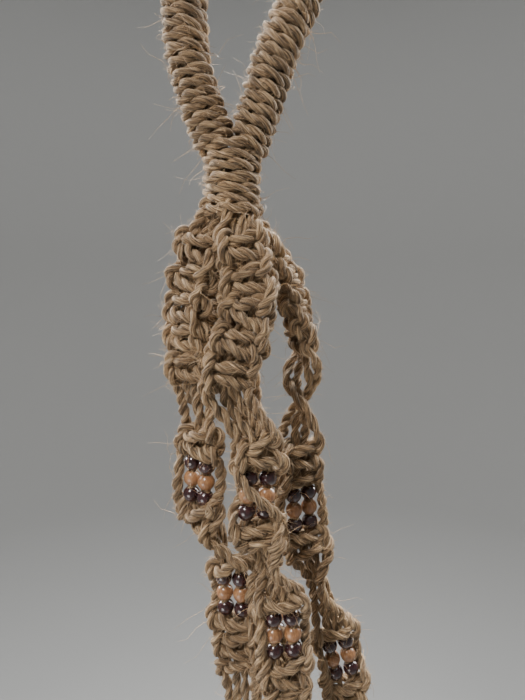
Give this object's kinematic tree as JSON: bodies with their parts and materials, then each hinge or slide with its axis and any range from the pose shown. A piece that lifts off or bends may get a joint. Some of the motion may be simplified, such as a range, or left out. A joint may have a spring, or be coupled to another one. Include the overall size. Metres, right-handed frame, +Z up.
{
  "type": "hanging macrame planter",
  "caption": "Hanging macrame planter in twisted jute: wrapped loop and neck, knotted arms with wooden beads, an openable pot net and a tassel.",
  "frame": {"origin": "the hanging point, inside the top of the loop, where a hook bears", "axes": "+Z up along the hanging planter, +X across the loop's plane to the right of the front, +Y to the back"},
  "size_m": [0.0741, 0.0419, 0.6781],
  "materials": {
    "jute": "golden-tan two-ply twisted jute, hairy, dark in its hollows",
    "bead_wood": "dark plum-brown beads at both ends of a string and a natural orange-tan one between them, lacquered"
  },
  "bodies": {
    "hanger": {"loop_core": "jute", "loop_wrap": "jute", "neck_core": "jute", "neck_wrap": "jute"},
    "arm_left": {"arm_left_sinnet": "jute", "arm_left_bead_knots": "jute", "arm_left_cords": "jute", "arm_left_rim_knot": "jute"},
    "arm_front": {"arm_front_sinnet": "jute", "arm_front_bead_knots": "jute", "arm_front_cords": "jute", "arm_front_rim_knot": "jute"},
    "arm_right": {"arm_right_sinnet": "jute", "arm_right_bead_knots": "jute", "arm_right_cords": "jute", "arm_right_rim_knot": "jute"},
    "arm_back": {"arm_back_sinnet": "jute", "arm_back_bead_knots": "jute", "arm_back_cords": "jute", "arm_back_rim_knot": "jute"},
    "slant_left_ahead": {"slant_left_ahead": "jute"},
    "slant_left_behind": {"slant_left_behind": "jute"},
    "net_left": {"net_knot_left": "jute", "low_cords_left": "jute"},
    "slant_front_ahead": {"slant_front_ahead": "jute"},
    "slant_front_behind": {"slant_front_behind": "jute"},
    "net_front": {"net_knot_front": "jute", "low_cords_front": "jute"},
    "slant_right_ahead": {"slant_right_ahead": "jute"},
    "slant_right_behind": {"slant_right_behind": "jute"},
    "net_right": {"net_knot_right": "jute", "low_cords_right": "jute"},
    "slant_back_ahead": {"slant_back_ahead": "jute"},
    "slant_back_behind": {"slant_back_behind": "jute"},
    "net_back": {"net_knot_back": "jute", "low_cords_back": "jute"},
    "gather": {"gather_core": "jute", "gather_wrap": "jute", "tassel": "jute"},
    "beads_left_upper_a": {"beads_left_upper_a": "bead_wood"},
    "beads_left_upper_b": {"beads_left_upper_b": "bead_wood"},
    "beads_left_lower_a": {"beads_left_lower_a": "bead_wood"},
    "beads_left_lower_b": {"beads_left_lower_b": "bead_wood"},
    "beads_front_upper_a": {"beads_front_upper_a": "bead_wood"},
    "beads_front_upper_b": {"beads_front_upper_b": "bead_wood"},
    "beads_front_lower_a": {"beads_front_lower_a": "bead_wood"},
    "beads_front_lower_b": {"beads_front_lower_b": "bead_wood"},
    "beads_right_upper_a": {"beads_right_upper_a": "bead_wood"},
    "beads_right_upper_b": {"beads_right_upper_b": "bead_wood"},
    "beads_right_lower_a": {"beads_right_lower_a": "bead_wood"},
    "beads_right_lower_b": {"beads_right_lower_b": "bead_wood"},
    "beads_back_upper_a": {"beads_back_upper_a": "bead_wood"},
    "beads_back_upper_b": {"beads_back_upper_b": "bead_wood"},
    "beads_back_lower_a": {"beads_back_lower_a": "bead_wood"},
    "beads_back_lower_b": {"beads_back_lower_b": "bead_wood"}
  },
  "joints": [
    {"name": "net_opening", "type": "hinge", "parent": "hanger", "child": "arm_left", "pos_m": [-0.00964, -0.00205, -0.0862], "axis": [-0.255, 0.9667, -0.021], "range_deg": [0, 15.34]},
    {"name": "arm_front_opening", "type": "hinge", "parent": "hanger", "child": "arm_front", "pos_m": [-0.00195, -0.00564, -0.0862], "axis": [-0.9965, 0.0172, -0.0821], "range_deg": [0, 10.66]},
    {"name": "arm_right_opening", "type": "hinge", "parent": "hanger", "child": "arm_right", "pos_m": [0.00164, 0.00205, -0.0862], "axis": [0.5069, -0.861, 0.0418], "range_deg": [0, 7.58]},
    {"name": "arm_back_opening", "type": "hinge", "parent": "hanger", "child": "arm_back", "pos_m": [-0.00605, 0.00564, -0.0862], "axis": [0.8004, 0.5959, 0.066], "range_deg": [0, 13.35]},
    {"name": "slant_left_ahead_fold", "type": "hinge", "parent": "arm_left", "child": "slant_left_ahead", "pos_m": [0.00295, -0.00764, -0.335], "axis": [-0.342, -0.9342, -0.1011], "range_deg": [0, 40.51]},
    {"name": "slant_left_behind_fold", "type": "hinge", "parent": "arm_left", "child": "slant_left_behind", "pos_m": [0.00062, -0.00125, -0.335], "axis": [0.8491, -0.5236, 0.0695], "range_deg": [0, 38.04]},
    {"name": "net_left_fold", "type": "hinge", "parent": "slant_left_ahead", "child": "net_left", "pos_m": [0.00561, -0.01043, -0.41], "axis": [0.919, 0.3875, -0.0722], "range_deg": [0, 39.58]},
    {"name": "slant_front_ahead_fold", "type": "hinge", "parent": "arm_front", "child": "slant_front_ahead", "pos_m": [0.02164, -0.01105, -0.335], "axis": [0.8784, -0.4769, -0.0311], "range_deg": [0, 37.81]},
    {"name": "slant_front_behind_fold", "type": "hinge", "parent": "arm_front", "child": "slant_front_behind", "pos_m": [0.01525, -0.01338, -0.335], "axis": [0.4964, 0.8556, 0.1467], "range_deg": [0, 31.36]},
    {"name": "net_front_fold", "type": "hinge", "parent": "slant_front_ahead", "child": "net_front", "pos_m": [0.02443, -0.00839, -0.41], "axis": [-0.367, 0.9238, -0.1089], "range_deg": [0, 39.29]},
    {"name": "slant_right_ahead_fold", "type": "hinge", "parent": "arm_right", "child": "slant_right_ahead", "pos_m": [0.02505, 0.00764, -0.335], "axis": [0.4434, 0.8925, -0.0828], "range_deg": [0, 31.07]},
    {"name": "slant_right_behind_fold", "type": "hinge", "parent": "arm_right", "child": "slant_right_behind", "pos_m": [0.02738, 0.00125, -0.335], "axis": [-0.9451, 0.3141, -0.0907], "range_deg": [0, 33.6]},
    {"name": "net_right_fold", "type": "hinge", "parent": "slant_right_ahead", "child": "net_right", "pos_m": [0.02239, 0.01043, -0.41], "axis": [-0.9382, -0.3302, -0.1033], "range_deg": [0, 38.04]},
    {"name": "slant_back_ahead_fold", "type": "hinge", "parent": "arm_back", "child": "slant_back_ahead", "pos_m": [0.00636, 0.01105, -0.335], "axis": [-0.9394, 0.2612, -0.222], "range_deg": [0, 34.61]},
    {"name": "slant_back_behind_fold", "type": "hinge", "parent": "arm_back", "child": "slant_back_behind", "pos_m": [0.01275, 0.01338, -0.335], "axis": [-0.4036, -0.915, 0.0007], "range_deg": [0, 40.17]},
    {"name": "net_back_fold", "type": "hinge", "parent": "slant_back_ahead", "child": "net_back", "pos_m": [0.00357, 0.00839, -0.41], "axis": [0.3686, -0.9296, -0.0049], "range_deg": [0, 38.16]},
    {"name": "gather_fold", "type": "hinge", "parent": "net_left", "child": "gather", "pos_m": [0.01136, -0.00566, -0.535], "axis": [-0.9171, 0.397, 0.0376], "range_deg": [0, 20.38]},
    {"name": "beads_left_upper_a_spin", "type": "hinge", "parent": "arm_left", "child": "beads_left_upper_a", "pos_m": [-0.01828, -0.00227, -0.17039], "axis": [-0.0553, -0.0276, -0.9981], "continuous": true},
    {"name": "beads_left_upper_b_spin", "type": "hinge", "parent": "arm_left", "child": "beads_left_upper_b", "pos_m": [-0.01308, -0.00591, -0.17058], "axis": [-0.0553, -0.0276, -0.9981], "continuous": true},
    {"name": "beads_left_lower_a_spin", "type": "hinge", "parent": "arm_left", "child": "beads_left_lower_a", "pos_m": [-0.00783, -0.00302, -0.2127], "axis": [0.0553, 0, -0.9985], "continuous": true},
    {"name": "beads_left_lower_b_spin", "type": "hinge", "parent": "arm_left", "child": "beads_left_lower_b", "pos_m": [-0.0018, -0.00498, -0.21237], "axis": [0.0553, 0, -0.9985], "continuous": true},
    {"name": "beads_front_upper_a_spin", "type": "hinge", "parent": "arm_front", "child": "beads_front_upper_a", "pos_m": [0.00167, -0.01582, -0.17124], "axis": [-0.0828, 0, -0.9966], "continuous": true},
    {"name": "beads_front_upper_b_spin", "type": "hinge", "parent": "arm_front", "child": "beads_front_upper_b", "pos_m": [0.00778, -0.01418, -0.17175], "axis": [-0.0828, 0, -0.9966], "continuous": true},
    {"name": "beads_front_lower_a_spin", "type": "hinge", "parent": "arm_front", "child": "beads_front_lower_a", "pos_m": [0.00951, -0.01661, -0.21971], "axis": [0.0553, 0, -0.9985], "continuous": true},
    {"name": "beads_front_lower_b_spin", "type": "hinge", "parent": "arm_front", "child": "beads_front_lower_b", "pos_m": [0.01585, -0.01639, -0.21936], "axis": [0.0553, 0, -0.9985], "continuous": true},
    {"name": "beads_right_upper_a_spin", "type": "hinge", "parent": "arm_right", "child": "beads_right_upper_a", "pos_m": [0.01731, 0.00516, -0.18564], "axis": [0.0553, 0, -0.9985], "continuous": true},
    {"name": "beads_right_upper_b_spin", "type": "hinge", "parent": "arm_right", "child": "beads_right_upper_b", "pos_m": [0.02306, 0.00784, -0.18532], "axis": [0.0553, 0, -0.9985], "continuous": true},
    {"name": "beads_right_lower_a_spin", "type": "hinge", "parent": "arm_right", "child": "beads_right_lower_a", "pos_m": [0.03168, 0.00657, -0.24634], "axis": [0.2164, 0, -0.9763], "continuous": true},
    {"name": "beads_right_lower_b_spin", "type": "hinge", "parent": "arm_right", "child": "beads_right_lower_b", "pos_m": [0.03783, 0.00743, -0.24498], "axis": [0.2164, 0, -0.9763], "continuous": true},
    {"name": "beads_back_upper_a_spin", "type": "hinge", "parent": "arm_back", "child": "beads_back_upper_a", "pos_m": [0.00839, 0.01445, -0.19024], "axis": [0.0828, 0, -0.9966], "continuous": true},
    {"name": "beads_back_upper_b_spin", "type": "hinge", "parent": "arm_back", "child": "beads_back_upper_b", "pos_m": [0.00216, 0.01555, -0.19075], "axis": [0.0828, 0, -0.9966], "continuous": true},
    {"name": "beads_back_lower_a_spin", "type": "hinge", "parent": "arm_back", "child": "beads_back_lower_a", "pos_m": [0.01135, 0.01441, -0.23336], "axis": [0.0553, -0.0276, -0.9981], "continuous": true},
    {"name": "beads_back_lower_b_spin", "type": "hinge", "parent": "arm_back", "child": "beads_back_lower_b", "pos_m": [0.00501, 0.01441, -0.23371], "axis": [0.0553, -0.0276, -0.9981], "continuous": true}
  ],
  "couplings": [
    {"joint": "arm_front_opening", "follows": "net_opening", "ratio": 0.69477},
    {"joint": "arm_right_opening", "follows": "net_opening", "ratio": 0.49443},
    {"joint": "arm_back_opening", "follows": "net_opening", "ratio": 0.87045},
    {"joint": "slant_left_ahead_fold", "follows": "net_opening", "ratio": 2.6412},
    {"joint": "slant_left_behind_fold", "follows": "net_opening", "ratio": 2.4802},
    {"joint": "net_left_fold", "follows": "net_opening", "ratio": 2.5803},
    {"joint": "slant_front_ahead_fold", "follows": "net_opening", "ratio": 2.4648},
    {"joint": "slant_front_behind_fold", "follows": "net_opening", "ratio": 2.0444},
    {"joint": "net_front_fold", "follows": "net_opening", "ratio": 2.5612},
    {"joint": "slant_right_ahead_fold", "follows": "net_opening", "ratio": 2.0258},
    {"joint": "slant_right_behind_fold", "follows": "net_opening", "ratio": 2.1903},
    {"joint": "net_right_fold", "follows": "net_opening", "ratio": 2.4798},
    {"joint": "slant_back_ahead_fold", "follows": "net_opening", "ratio": 2.2566},
    {"joint": "slant_back_behind_fold", "follows": "net_opening", "ratio": 2.6187},
    {"joint": "net_back_fold", "follows": "net_opening", "ratio": 2.4875},
    {"joint": "gather_fold", "follows": "net_opening", "ratio": 1.3288}
  ]
}
